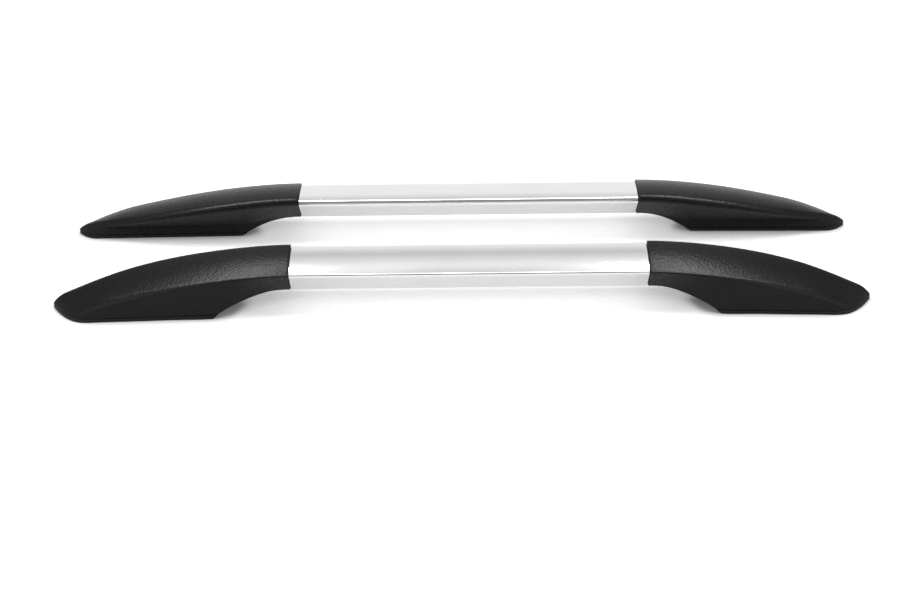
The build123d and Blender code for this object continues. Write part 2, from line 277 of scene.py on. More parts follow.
@dataclass(frozen=True)
class SatinAluminium(Finish):
    """Aluminium extrusion, drawn through a die, buffed and clear anodised.

    A bright, slightly blurred mirror of its surroundings, with faint die lines along the rail and a thin
    haze of oxide that varies a little in gloss.
    """

    name: str = "aluminium_satin_anodised"
    dark: str = "#EAEBEC"
    pale: str = "#F4F4F5"
    relief_mm: float = 0.0008
    roughness: Tuple[float, float] = (0.09, 0.13)
    blur_span: Tuple[float, float] = (0.1, 0.45)
    die_line_mm: float = 0.8
    die_line_length_mm: float = 220.0
    die_line_detail: float = 2.0
    haze_mm: float = 60.0
    haze_detail: float = 3.0

    def pattern(self, tree: bpy.types.NodeTree, place: bpy.types.NodeSocket) -> Pattern:
        """Draws the die lines and the haze.

        Args:
            tree: The material's tree.
            place: The socket with Object coordinates.

        Returns:
            The haze, its blur between the die lines, and the height of the lines.
        """
        # Die lines are hair fine. They are drawn 0.8 mm apart, so that they show.
        along, across = (1 / (size * MM) for size in (self.die_line_length_mm, self.die_line_mm))
        drawn = add_node(
            tree, "ShaderNodeMapping", {"Vector": place, "Scale": (along, across, across)}
        ).outputs["Vector"]
        lines = add_node(
            tree,
            "ShaderNodeTexNoise",
            {"Vector": drawn, "Scale": 1.0, "Detail": self.die_line_detail},
        ).outputs["Fac"]
        haze = add_node(
            tree,
            "ShaderNodeTexNoise",
            {"Vector": place, "Scale": 1 / (self.haze_mm * MM), "Detail": self.haze_detail},
        ).outputs["Fac"]
        blur = add_node(tree, "ShaderNodeMath", {0: lines, 1: haze}, operation="MULTIPLY").outputs[0]
        return haze, blur, lines


@dataclass(frozen=True)
class GasketRubber(Finish):
    """Black EPDM rubber, moulded, with a dull skin and a faint bloom."""

    name: str = "epdm_rubber_moulded"
    dark: str = "#171717"
    pale: str = "#212121"
    relief_mm: float = 0.03
    roughness: Tuple[float, float] = (0.74, 0.74)
    ior: float = 1.52
    specular: float = 0.3
    skin_mm: float = 1.0
    skin_detail: float = 2.0
    bloom_mm: float = 18.0
    bloom_detail: float = 4.0

    def shading(self) -> Dict[str, float]:
        """Gives the rubber's IOR and how strongly it mirrors."""
        return {"IOR": self.ior, "Specular IOR Level": self.specular}

    def pattern(self, tree: bpy.types.NodeTree, place: bpy.types.NodeSocket) -> Pattern:
        """Draws the skin and the bloom.

        Args:
            tree: The material's tree.
            place: The socket with Object coordinates.

        Returns:
            The bloom, no blur, because it is even, and the height of the skin.
        """
        skin, bloom = (
            add_node(
                tree,
                "ShaderNodeTexNoise",
                {"Vector": place, "Scale": 1 / (size * MM), "Detail": detail},
            ).outputs["Fac"]
            for size, detail in ((self.skin_mm, self.skin_detail), (self.bloom_mm, self.bloom_detail))
        )
        return bloom, None, skin


@dataclass(frozen=True)
class ZincSteel(Finish):
    """Mild steel with a bright zinc plating, whose faint spangle changes gloss from patch to patch."""

    name: str = "steel_zinc_plated"
    dark: str = "#B3B7BB"
    pale: str = "#CFD2D5"
    relief_mm: float = 0.01
    roughness: Tuple[float, float] = (0.42, 0.26)
    spangle_mm: float = 3.0

    def pattern(self, tree: bpy.types.NodeTree, place: bpy.types.NodeSocket) -> Pattern:
        """Draws the spangle.

        Args:
            tree: The material's tree.
            place: The socket with Object coordinates.

        Returns:
            The spangle's patches, as colour and as blur, and its height.
        """
        spangle = add_node(
            tree, "ShaderNodeTexVoronoi", {"Vector": place, "Scale": 1 / (self.spangle_mm * MM)}
        ).outputs
        patch = add_node(tree, "ShaderNodeSeparateColor", {"Color": spangle["Color"]}).outputs["Red"]
        return patch, patch, spangle["Distance"]


def mix(first: Any, second: Any, share: float) -> Any:
    """Gives the value or point at a share of the way from first to second."""
    return first + (second - first) * share


def size_of(vector: Point) -> float:
    """Gives a vector's length."""
    return float(np.hypot(vector[0], vector[1]))


def inset_corners(corners: Sequence[Point], inset: float) -> List[Point]:
    """Moves each side of a clockwise outline inwards.

    Args:
        corners: The outline's corners.
        inset: The distance that each side moves.

    Returns:
        The corners of the moved sides.
    """
    count = len(corners)
    normals = []
    for i in range(count):
        side = corners[(i + 1) % count] - corners[i]
        normals.append(np.array((side[1], -side[0])) / size_of(side))
    moved = []
    for i in range(count):
        before, after = normals[i - 1], normals[i]
        moved.append(corners[i] + (before + after) * (inset / (1 + before.dot(after))))
    return moved


def along_side(top: Point, low: Point, z: float) -> Point:
    """Gives the point at the height z on the line through top and low."""
    return mix(top, low, (z - top[1]) / (low[1] - top[1]))


def toward(start: Point, end: Point, distance: float) -> Point:
    """Gives the point at a distance from start towards end, as far as a rounding may reach."""
    return mix(start, end, min(distance / size_of(end - start), MOST_ROUND))


def rounding(start: Point, corner: Point, end: Point, count: int, fullness: float = 0.55) -> List[Point]:
    """Draws a rounded corner, tangent to both of its sides.

    Args:
        start: The point where it leaves the first side.
        corner: The corner that it rounds.
        end: The point where it joins the second side.
        count: The number of points, with both ends.
        fullness: How far its handles reach to the corner.

    Returns:
        The points from start to end.
    """
    first, second = mix(start, corner, fullness), mix(end, corner, fullness)
    points = []
    for s in np.linspace(0, 1, count):
        r = 1 - s
        points.append(r**3 * start + 3 * r * r * s * first + 3 * r * s * s * second + s**3 * end)
    return points


def run_along(points: Sequence[Point]) -> np.ndarray:
    """Gives the distance of each point along a line of points."""
    return np.concatenate(([0.0], np.cumsum(np.hypot(*np.diff(np.array(points), axis=0).T))))


def spaced(points: Sequence[Point], count: int) -> List[Point]:
    """Spaces points evenly along a line of points.

    Args:
        points: The line's points.
        count: The number of points to give.

    Returns:
        Evenly spaced points, with both ends.
    """
    line = np.array(points)
    run = run_along(points)
    goal = np.linspace(0, run[-1], count)
    return [np.array(p) for p in zip(np.interp(goal, run, line[:, 0]), np.interp(goal, run, line[:, 1]))]


def add_piece(name: str, mesh: bpy.types.Mesh, finish: bpy.types.Material) -> bpy.types.Object:
    """Puts a finished mesh in the scene as a piece that rides on the one body.

    Args:
        name: The piece's name.
        mesh: Its mesh, in place.
        finish: Its material.

    Returns:
        The piece.
    """
    mesh.materials.clear()
    mesh.materials.append(finish)
    piece = bpy.data.objects.new(name, mesh)
    bpy.context.scene.collection.objects.link(piece)
    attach(piece, "root")
    LOG.info("made %s with %d faces", name, len(mesh.polygons))
    return piece


def skin_mesh(name: str, rings: Sequence[Sequence[Vector]], capped: bool, sharp_deg: float) -> bpy.types.Mesh:
    """Joins closed rings of points into a shell.

    Args:
        name: The mesh's name.
        rings: Rings with the same number of points, in order.
        capped: Whether the first and last rings are filled. Otherwise the last joins the first.
        sharp_deg: The angle above which an edge stays sharp.

    Returns:
        A closed mesh with its faces pointing outwards.
    """
    shell = bmesh.new()
    loops = [[shell.verts.new(point) for point in ring] for ring in rings]
    pairs = list(zip(loops, loops[1:]))
    if not capped:
        pairs.append((loops[-1], loops[0]))
    for first, second in pairs:
        for i in range(len(first)):
            j = (i + 1) % len(first)
            shell.faces.new((first[i], first[j], second[j], second[i]))
    if capped:
        caps = [shell.faces.new(loops[0]), shell.faces.new(loops[-1])]
        bmesh.ops.triangulate(shell, faces=caps)
    bmesh.ops.recalc_face_normals(shell, faces=shell.faces)
    mesh = bpy.data.meshes.new(name)
    shell.to_mesh(mesh)
    shell.free()
    mesh.polygons.foreach_set("use_smooth", [True] * len(mesh.polygons))
    mesh.set_sharp_from_angle(angle=math.radians(sharp_deg))
    return mesh


@dataclass(frozen=True)
class MouthOutline:
    """The outline that the tube and the mouth of a foot share, as (u, z) corners."""

    inner_edge: Tuple[float, float] = (-35.0, 67.1)
    crease: Tuple[float, float] = (30.0, 57.5)
    base_outer: Tuple[float, float] = (13.0, 26.8)
    base_inner: Tuple[float, float] = (-4.5, 26.8)
    crown: float = 3.8

    def corners(self) -> List[Point]:
        """Gives the corners, clockwise from the inner edge."""
        return [np.array(c) for c in (self.inner_edge, self.crease, self.base_outer, self.base_inner)]

    def crown_point(self, edge: Point, crease: Point, share: float) -> Point:
        """Gives a point on the crowned top.

        Args:
            edge: The inner edge's corner.
            crease: The crease's corner.
            share: The place between them, 0 at the inner edge.

        Returns:
            The point.
        """
        return mix(edge, crease, share) + self.crown_rise(edge, crease) * (share * (1 - share))

    def crown_rise(self, edge: Point, crease: Point) -> Point:
        """Gives how far the crown's tangent at one corner rises by the other.

        Args:
            edge: The inner edge's corner.
            crease: The crease's corner.

        Returns:
            The rise, four times the crown's height.
        """
        side = crease - edge
        full = size_of(np.array(self.crease) - np.array(self.inner_edge))
        return np.array((-side[1], side[0])) * (4 * self.crown / full)


@dataclass
class RailTube:
    """The aluminium tube of one rail, a hollow extrusion between the mouths of its feet."""

    side: Side
    mouth: MouthOutline
    front_x: float = -206.0
    rear_x: float = 226.0
    half_spacing: float = HALF_SPACING
    step: float = TUBE_STEP
    wall: float = 2.0
    edge_drop: float = 2.5
    edge_round: float = 5.2
    crease_round: float = 2.5
    base_round: float = 1.2
    least_round: float = 0.3
    sharp_deg: float = 50.0
    slices: int = 16
    top_points: int = 40
    side_points: int = 24
    round_points: int = 12

    def outline(self, inset: float) -> List[Point]:
        """Draws the section at an inset from the foot's mouth.

        Args:
            inset: The inset of every side.

        Returns:
            The points, clockwise from the inner end of the top.
        """
        mouth_edge, *others = self.mouth.corners()
        corners = inset_corners([mouth_edge - (0, self.edge_drop), *others], inset)
        following = corners[1:] + corners[:1]
        edge, crease = corners[:2]
        rise = self.mouth.crown_rise(edge, crease)
        radii = [
            max(r + self.step - inset, self.least_round)
            for r in (self.edge_round, self.crease_round, self.base_round, self.base_round)
        ]
        reach, fullness = [], []
        for i, corner in enumerate(corners):
            # At the top's two corners, the side that counts is the crown's tangent.
            before = corners[i - 1] - corner + (rise if i == 1 else 0)
            after = following[i] - corner + (rise if i == 0 else 0)
            turn = math.pi - math.acos(before.dot(after) / size_of(before) / size_of(after))
            reach.append(radii[i] * math.tan(turn / 2))
            fullness.append(4 / 3 * math.tan(turn / 4) / math.tan(turn / 2))
        width = size_of(crease - edge)
        shares = np.linspace(reach[0] / width, 1 - reach[1] / width, self.top_points)
        top = [self.mouth.crown_point(edge, crease, s) for s in shares]
        starts = [toward(c, corners[i - 1], reach[i]) for i, c in enumerate(corners)]
        ends = [toward(c, following[i], reach[i]) for i, c in enumerate(corners)]
        # The roundings beside the top meet its crown, not the straight line between its corners.
        ends[0], starts[1] = top[0], top[-1]
        line = list(top)
        for i, next_start in zip((1, 2, 3), (*starts[2:], starts[0])):
            line += rounding(starts[i], corners[i], ends[i], self.round_points, fullness[i])[1:]
            line += spaced([ends[i], next_start], self.side_points)[1:]
        line += rounding(starts[0], edge, ends[0], self.round_points, fullness[0])[1:-1]
        return line

    def ring(self, inset: float, x: float) -> List[Vector]:
        """Places the section at a station.

        Args:
            inset: The section's inset.
            x: The station.

        Returns:
            The points in metres.
        """
        sign = self.side.value
        return [Vector((x, sign * (self.half_spacing + u), z)) * MM for u, z in self.outline(inset)]

    def build(self) -> bpy.types.Mesh:
        """Makes the tube's outer and inner walls and its two end faces.

        Returns:
            The mesh.
        """
        stations = list(np.linspace(self.front_x, self.rear_x, self.slices + 1))
        outer = [self.ring(self.step, x) for x in stations]
        inner = [self.ring(self.step + self.wall, x) for x in reversed(stations)]
        name = f"{self.side.name.lower()}_tube"
        return skin_mesh(name, outer + inner, capped=False, sharp_deg=self.sharp_deg)

    def dress(self, finish: bpy.types.Material) -> None:
        """Puts the tube in place of its solid.

        Args:
            finish: The aluminium.
        """
        name = self.side.name.lower()
        piece = add_piece(f"{name}_tube", self.build(), finish)
        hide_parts(f"{name}_rail_profile")


@dataclass
class MouldedFoot:
    """One moulded foot: a swept skin that falls from the tube's mouth to a toe on the roof."""

    side: Side
    end: End
    mouth: MouthOutline
    length: float
    heel: float
    mouth_x: float
    half_spacing: float = HALF_SPACING
    # The fall of the top and its crease from the mouth to the toe, and the rounding of its edges.
    fall_power: float = 1.7
    toe_top_z: float = 13.5
    toe_crease_z: float = 6.5
    toe_crease_power: float = 8.0
    crease_fall_power: float = 1.78
    crease_spread: float = 10.4
    crease_spread_power: float = 1.45
    inner_sweep_power: float = 4.8
    inner_edge_round: float = 12.0
    crease_round: float = 1.5
    toe_crease_round: float = 18.0
    # The tip of the toe, and the lengths over which each edge curves in to it.
    tip_u: float = 5.0
    outer_nose: float = 45.0
    crease_nose: float = 80.0
    inner_nose: float = 25.0
    tip_round: float = 14.0
    tip_blunt: float = 0.6
    # The base, with the skirt that flares on to it. The sides run on below it by the undercut, and the
    # underside then ends them.
    base_z: float = 4.0
    undercut: float = 8.0
    base_outer_u: float = 31.8
    base_outer_flare: float = 10.4
    base_inner_u: float = -6.0
    base_inner_flare: float = 4.5
    skirt_height: float = 7.0
    skirt_outer: float = 2.5
    skirt_inner: float = 3.5
    skirt_round: float = 6.0
    skirt_share: float = 0.45
    # The arch between the mouth and the heel.
    arch_start: float = 5.0
    arch_outer_run: float = 26.0
    arch_inner_run: float = 48.0
    heel_lean: float = 14.0
    onto_roof_power: float = 3.0
    # The shadow gap and the lip around the mouth, and the rounding of the lower rims.
    reveal_width: float = 1.2
    reveal_depth: float = 1.6
    lip: float = 0.6
    tube_step: float = TUBE_STEP
    rim_round: float = 1.1
    rim_share: float = 0.25
    # The mesh: its sharp edges, the stations of its sections and the points of each stretch.
    sharp_deg: float = 38.0
    heel_margin: float = 4.0
    station_counts: Tuple[int, int, int, int] = (44, 30, 34, 54)
    cut_points: int = 160
    knee_points: int = 16
    side_points: int = 30
    top_points: int = 34
    edge_points: int = 14
    crease_points: int = 8
    rim_points: int = 4
    floor_points: int = 6
    lip_steps: int = 5

    @staticmethod
    def nose_share(from_tip: float, length: float) -> float:
        """Gives how much of its full width a side has at a distance from the tip."""
        return 1 - max(1 - from_tip / length, 0.0) ** 2

    def side_corners(
        self, top: Point, base_u: float, skirt: float, high: Point, low: Point, onto_roof: float
    ) -> Tuple[Point, Point]:
        """Gives the knee and the foot of one side.

        Args:
            top: The corner above that side.
            base_u: Where the side meets the roof.
            skirt: How far the skirt flares.
            high: The upper corner of that side at the mouth.
            low: The lower corner of that side at the mouth.
            onto_roof: How far the side has come down on to the roof.

        Returns:
            The knee and the lowest corner.
        """
        knee_z = self.base_z + min(self.skirt_height, self.skirt_share * (top[1] - self.base_z))
        mouth_z = self.mouth.base_outer[1]
        hung_knee = along_side(high, low, mouth_z + self.tube_step)
        hung_low = along_side(high, low, mouth_z - self.undercut)
        knee = mix(hung_knee, np.array((base_u - skirt, knee_z)), onto_roof)
        return knee, mix(hung_low, np.array((base_u, self.base_z - self.undercut)), onto_roof)

    def corners(self, x: float, inset: float = 0.0) -> List[Point]:
        """Gives the corners of the section at a station.

        Args:
            x: The station, from the mouth.
            inset: The inset of every side.

        Returns:
            The corners, clockwise from the inner edge.
        """
        share = x / self.length
        from_tip = self.length + self.tip_blunt - x
        drop = math.sqrt(1 - max(1 - from_tip / self.tip_round, 0.0) ** 2)
        edge_0, crease_0, outer_0, inner_0 = self.mouth.corners()
        edge_z = mix(edge_0[1], self.toe_top_z, share**self.fall_power)
        crease_z = crease_0[1] * (1 - share**self.crease_fall_power)
        crease_z += self.toe_crease_z * share**self.toe_crease_power
        crease_u = crease_0[0] + self.crease_spread * share**self.crease_spread_power
        crease_u = mix(self.tip_u, crease_u, self.nose_share(from_tip, self.crease_nose))
        edge_u = mix(edge_0[0], self.tip_u, share**self.inner_sweep_power)
        edge = np.array((edge_u, mix(self.base_z, edge_z, drop)))
        crease = np.array((crease_u, mix(self.base_z, crease_z, drop)))
        outer = self.nose_share(from_tip, self.outer_nose)
        inner = self.nose_share(from_tip, self.inner_nose)
        outer_u = mix(self.tip_u, self.base_outer_u + self.base_outer_flare * share, outer)
        inner_u = mix(self.tip_u, self.base_inner_u - self.base_inner_flare * share, inner)
        onto_roof = math.sin(math.pi / 2 * min(x / self.heel, 1)) ** self.onto_roof_power
        outer_knee, outer_low = self.side_corners(
            crease, outer_u, self.skirt_outer * outer, crease_0, outer_0, onto_roof
        )
        inner_knee, inner_low = self.side_corners(
            edge, inner_u, -self.skirt_inner * inner, edge_0, inner_0, onto_roof
        )
        return inset_corners([edge, crease, outer_knee, outer_low, inner_low, inner_knee], inset)

    def inward(self, u: float) -> float:
        """Gives how far a place lies across the base, from 0 at its outer side to 1 at its inner side."""
        return (self.base_outer_u - u) / (self.base_outer_u - self.base_inner_u)

    def heel_at(self, u: float) -> float:
        """Gives the station where the arch meets the roof plane, which leans to the mouth inwards."""
        return self.heel - self.heel_lean * self.inward(u)

    def underside(self, x: float, u: float) -> float:
        """Gives the height of the moulding's underside, on the arch or on the gasket.

        Args:
            x: The station.
            u: The place across.

        Returns:
            The height.
        """
        rise = self.mouth.base_outer[1]
        heel = self.heel_at(u)
        if x <= self.arch_start:
            return rise
        if x >= heel:
            return self.base_z
        # The arch is a quadratic curve from its start to the heel, level with the mouth at its start.
        bend = heel - mix(self.arch_outer_run, self.arch_inner_run, self.inward(u))
        square = self.arch_start - 2 * bend + heel
        slope = 2 * (bend - self.arch_start)
        past = x - self.arch_start
        share = 2 * past / (slope + math.sqrt(slope * slope + 4 * square * past))
        return max(self.base_z, rise * (1 - share * share))

    def cut_side(self, x: float, raised: float, line: Sequence[Point]) -> Tuple[List[Point], Point]:
        """Ends a side's line at the underside.

        Args:
            x: The station.
            raised: How far the underside is raised.
            line: The side's points from the top down.

        Returns:
            The side's points above its rim, and the rim's corner.
        """
        fine = spaced(line, self.cut_points)
        kept = [fine[0]]
        for before, after in zip(fine, fine[1:]):
            gap = after[1] - self.underside(x, after[0]) - raised
            if gap <= 0:
                above = before[1] - self.underside(x, before[0]) - raised
                kept.append(mix(before, after, above / max(above - gap, TINY)))
                break
            kept.append(after)
        corner = kept[-1]
        run = run_along(kept)
        stop = run[-1] - min(self.rim_round, self.rim_share * run[-1])
        upper = [p for p, r in zip(kept, run) if r < stop]
        points = np.array(kept)
        upper.append(np.array((np.interp(stop, run, points[:, 0]), np.interp(stop, run, points[:, 1]))))
        return spaced(upper, self.side_points), corner

    def section(self, x: float, inset: float = 0.0) -> List[Point]:
        """Draws the closed outline of the moulding at a station.

        Args:
            x: The station, from the mouth.
            inset: The inset of every side.

        Returns:
            The points, up the outer side, over the top, down the inner side and back underneath.
        """
        edge, crease, outer_knee, outer_low, inner_low, inner_knee = self.corners(x, inset)
        width = size_of(crease - edge)
        soft = mix(self.crease_round, self.toe_crease_round, (x / self.length) ** 2)
        shares = np.linspace(
            min(self.inner_edge_round / width, MOST_ROUND), 1 - min(soft / width, MOST_ROUND), self.top_points
        )
        top = [self.mouth.crown_point(edge, crease, s) for s in shares]
        crease_end = toward(crease, outer_knee, soft)
        edge_start = toward(edge, inner_knee, self.inner_edge_round)
        sides = []
        for start, high, knee, low in (
            (crease_end, crease, outer_knee, outer_low),
            (edge_start, edge, inner_knee, inner_low),
        ):
            above, below = (toward(knee, end, self.skirt_round) for end in (high, low))
            bend = rounding(above, knee, below, self.knee_points)
            sides.append(self.cut_side(x, inset, [start, *bend, low]))
        (outer_side, outer_rim), (inner_side, inner_rim) = sides
        reach = min(self.rim_round, self.rim_share * size_of(outer_rim - inner_rim))
        outer_floor = toward(outer_rim, inner_rim, reach)
        inner_floor = toward(inner_rim, outer_rim, reach)
        floor = []
        for s in np.linspace(0, 1, self.floor_points)[1:-1]:
            u = mix(inner_floor[0], outer_floor[0], s)
            floor.append(np.array((u, self.underside(x, u) + inset)))
        line = outer_side[::-1]
        line += rounding(crease_end, crease, top[-1], self.crease_points)[1:]
        line += top[::-1][1:]
        line += rounding(top[0], edge, edge_start, self.edge_points)[1:]
        line += inner_side[1:]
        line += rounding(inner_side[-1], inner_rim, inner_floor, self.rim_points)[1:]
        line += floor
        line += rounding(outer_floor, outer_rim, outer_side[-1], self.rim_points)[:-1]
        return line

    def stations(self) -> List[float]:
        """Gives the stations of the sections, closer together at the heel and at the toe.

        Returns:
            The stations from the lip of the mouth to the toe.
        """
        before = self.heel_at(self.base_inner_u) - self.heel_margin
        after = self.heel + self.heel_margin
        arch, heel, sole, nose = self.station_counts
        parts = [
            np.linspace(self.reveal_width + self.lip, before, arch),
            np.linspace(before, after, heel),
            np.linspace(after, self.length - self.crease_nose, sole),
            self.length - self.crease_nose * (1 - np.linspace(0, 1, nose)) ** 2,
        ]
        return sorted(set(round(float(x), 4) for x in np.concatenate(parts)))

    def place(self, x: float, point: Point) -> Vector:
        """Places a section point at a station, in metres."""
        y = self.side.value * (self.half_spacing + point[0])
        return Vector((self.mouth_x + self.end.value * x, y, point[1])) * MM

    def build(self) -> bpy.types.Mesh:
        """Makes the skin with its rounded mouth lip, arch, base and toe.

        Returns:
            The mesh.
        """
        marks = [(0.0, self.reveal_depth), (self.reveal_width, self.reveal_depth)]
        for turn in np.linspace(math.pi / 2, 0, self.lip_steps)[:-1]:
            station = self.reveal_width + self.lip * (1 - math.sin(turn))
            marks.append((station, self.lip * (1 - math.cos(turn))))
        marks += [(x, 0.0) for x in self.stations()]
        rings = [[self.place(x, p) for p in self.section(x, inset)] for x, inset in marks]
        return skin_mesh(self.name(), rings, capped=True, sharp_deg=self.sharp_deg)

    def name(self) -> str:
        """Gives the name of the foot's node."""
        return f"{self.side.name.lower()}_{self.end.name.lower()}_foot"

    def dress(self, finish: bpy.types.Material) -> None:
        """Puts the foot in place of its solid.

        Args:
            finish: The plastic.
        """
        piece = add_piece(f"{self.name()}_skin", self.build(), finish)
        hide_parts(self.name())


def tree_mesh(name: str, tree: bpy.types.NodeTree, values: Dict[str, Any]) -> bpy.types.Mesh:
    """Runs a geometry tree and keeps what it makes as a plain mesh.

    Args:
        name: The mesh's name.
        tree: The geometry tree.
        values: The tree's inputs by name.

    Returns:
        The mesh.
    """
    holder = bpy.data.objects.new(name, bpy.data.meshes.new(name))
    bpy.context.scene.collection.objects.link(holder)
    modifier = holder.modifiers.new(tree.name, "NODES")
    modifier.node_group = tree
    for item in tree.interface.items_tree:
        if item.in_out == "INPUT" and item.name in values:
            modifier[item.identifier] = values[item.name]
    graph = bpy.context.evaluated_depsgraph_get()
    mesh = bpy.data.meshes.new_from_object(holder.evaluated_get(graph))
    mesh.name = name
    holder.modifiers.clear()
    bpy.data.objects.remove(holder)
    return mesh


def new_tree(name: str, inputs: Dict[str, str]) -> Tuple[bpy.types.NodeTree, bpy.types.Node]:
    """Starts a geometry tree with named inputs.

    Args:
        name: The tree's name.
        inputs: The socket type of each input, by name.

    Returns:
        The tree and its input node.
    """
    tree = bpy.data.node_groups.new(name, "GeometryNodeTree")
    for label, kind in inputs.items():
        tree.interface.new_socket(label, in_out="INPUT", socket_type=kind)
    tree.interface.new_socket("Geometry", in_out="OUTPUT", socket_type="NodeSocketGeometry")
    return tree, add_node(tree, "NodeGroupInput")


@dataclass
class TubeScrews:
    """The pan-head screws under one end of a tube, with a hexagon socket in each head."""

    foot: MouldedFoot
    first: float = 13.5
    spacing: float = 18.0
    count: int = 2
    centre_u: float = 4.25
    base_z: float = 27.3
    head_radius: float = 4.0
    head_height: float = 2.4
    head_round: float = 1.2
    shank_radius: float = 2.0
    shank_length: float = 9.0
    point: float = 0.6
    socket_radius: float = 1.45
    socket_depth: float = 1.3
    sharp_deg: float = 32.0
    head_steps: int = 6
    sides: int = 24

    def circle(self, radius: float, z: float) -> List[Vector]:
        """Gives a level ring about the screw's axis, in metres."""
        turns = [2 * math.pi * i / self.sides for i in range(self.sides)]
        return [Vector((radius * math.cos(a), radius * math.sin(a), z)) * MM for a in turns]

    def hexagon(self, radius: float, z: float) -> List[Vector]:
        """Gives a level hexagon about the screw's axis, with as many points as a ring.

        Args:
            radius: The distance of its corners from the axis.
            z: Its height.

        Returns:
            The points in metres.
        """
        points = []
        for i in range(self.sides):
            turn = 2 * math.pi * i / self.sides
            across = math.fmod(turn, math.pi / 3) - math.pi / 6
            reach = radius * math.cos(math.pi / 6) / math.cos(across)
            points.append(Vector((reach * math.cos(turn), reach * math.sin(turn), z)) * MM)
        return points

    def screw(self) -> bpy.types.Mesh:
        """Makes one screw about the Z axis, with the underside of the tube at z = 0.

        Returns:
            The mesh.
        """
        rings = [
            self.circle(self.shank_radius - self.point, self.shank_length),
            self.circle(self.shank_radius, self.shank_length - self.point),
            self.circle(self.shank_radius, 0),
            self.circle(self.head_radius, 0),
        ]
        middle = self.head_round - self.head_height
        for turn in np.linspace(0, math.pi / 2, self.head_steps):
            radius = self.head_radius - self.head_round * (1 - math.cos(turn))
            rings.append(self.circle(radius, middle - self.head_round * math.sin(turn)))
        rings.append(self.hexagon(self.socket_radius, -self.head_height))
        rings.append(self.hexagon(self.socket_radius, self.socket_depth - self.head_height))
        return skin_mesh("tube_screw", rings, capped=True, sharp_deg=self.sharp_deg)

    def tree(self) -> bpy.types.NodeTree:
        """Builds the tree that sets screws out in a row.

        Returns:
            The tree, with the screw, its number, the first place, the step and the finish as inputs.
        """
        tree, given = new_tree(
            "screws_in_a_row",
            {
                "Geometry": "NodeSocketGeometry",
                "Screw": "NodeSocketObject",
                "Count": "NodeSocketInt",
                "First Place": "NodeSocketVector",
                "Step": "NodeSocketVector",
                "Finish": "NodeSocketMaterial",
            },
        )
        row = add_node(
            tree,
            "GeometryNodeMeshLine",
            {
                "Count": given.outputs["Count"],
                "Start Location": given.outputs["First Place"],
                "Offset": given.outputs["Step"],
            },
            mode="OFFSET",
        )
        screw = add_node(tree, "GeometryNodeObjectInfo", {"Object": given.outputs["Screw"]})
        placed = add_node(
            tree,
            "GeometryNodeInstanceOnPoints",
            {"Points": row.outputs["Mesh"], "Instance": screw.outputs["Geometry"]},
        )
        real = add_node(tree, "GeometryNodeRealizeInstances", {"Geometry": placed.outputs["Instances"]})
        dressed = add_node(
            tree,
            "GeometryNodeSetMaterial",
            {"Geometry": real.outputs["Geometry"], "Material": given.outputs["Finish"]},
        )
        add_node(tree, "NodeGroupOutput", {"Geometry": dressed.outputs["Geometry"]})
        return tree

    def dress(self, finish: bpy.types.Material) -> None:
        """Puts the screws in place of their solids.

        Args:
            finish: The steel.
        """
        name = self.foot.name().replace("foot", "tube_screws")
        screw = bpy.data.objects.new("tube_screw", self.screw())
        bpy.context.scene.collection.objects.link(screw)
        start = self.foot.place(-self.first, np.array((self.centre_u, self.base_z)))
        step = Vector((-self.foot.end.value * self.spacing, 0, 0)) * MM
        values = {"Screw": screw, "Count": self.count, "First Place": start, "Step": step, "Finish": finish}
        mesh = tree_mesh(name, self.tree(), values)
        bpy.data.objects.remove(screw)
        piece = add_piece(f"{name}_set", mesh, finish)
        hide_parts(name)


@dataclass
class HiddenFixings:
    """The solids that keep their own shape: gaskets, mounting plates, plate screws and nuts."""

    foot: MouldedFoot
    steel_nodes: Tuple[str, ...] = ("mounting_plate", "plate_screws", "mounting_nuts")

    def dress(self, steel: bpy.types.Material, rubber: bpy.types.Material) -> None:
        """Gives the solids their finishes.

        Args:
            steel: The plated steel.
            rubber: The gasket's rubber.
        """
        finishes = {**dict.fromkeys(self.steel_nodes, steel), "gasket": rubber}
        for name, finish in finishes.items():
            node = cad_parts[self.foot.name().replace("foot", name)]
            node.data.materials.clear()
            node.data.materials.append(finish)
            LOG.info("dressed %s", node.name)


@dataclass(frozen=True)
class Softbox:
    """A soft lamp that points at the middle of the rails, and may show in reflections alone."""

    name: str
    place: Tuple[float, float, float]
    size: Tuple[float, float]
    watts: float
    gloss_only: bool = False

    def add(self) -> None:
        """Hangs the lamp."""
        data = bpy.data.lights.new(self.name, "AREA")
        data.shape = "RECTANGLE"
        data.size, data.size_y = (s * MM for s in self.size)
        data.energy = self.watts
        lamp = bpy.data.objects.new(self.name, data)
        lamp.location = Vector(self.place) * MM
        lamp.rotation_euler = (-lamp.location).to_track_quat("-Z", "Y").to_euler()
        lamp.visible_diffuse = not self.gloss_only
        bpy.context.scene.collection.objects.link(lamp)


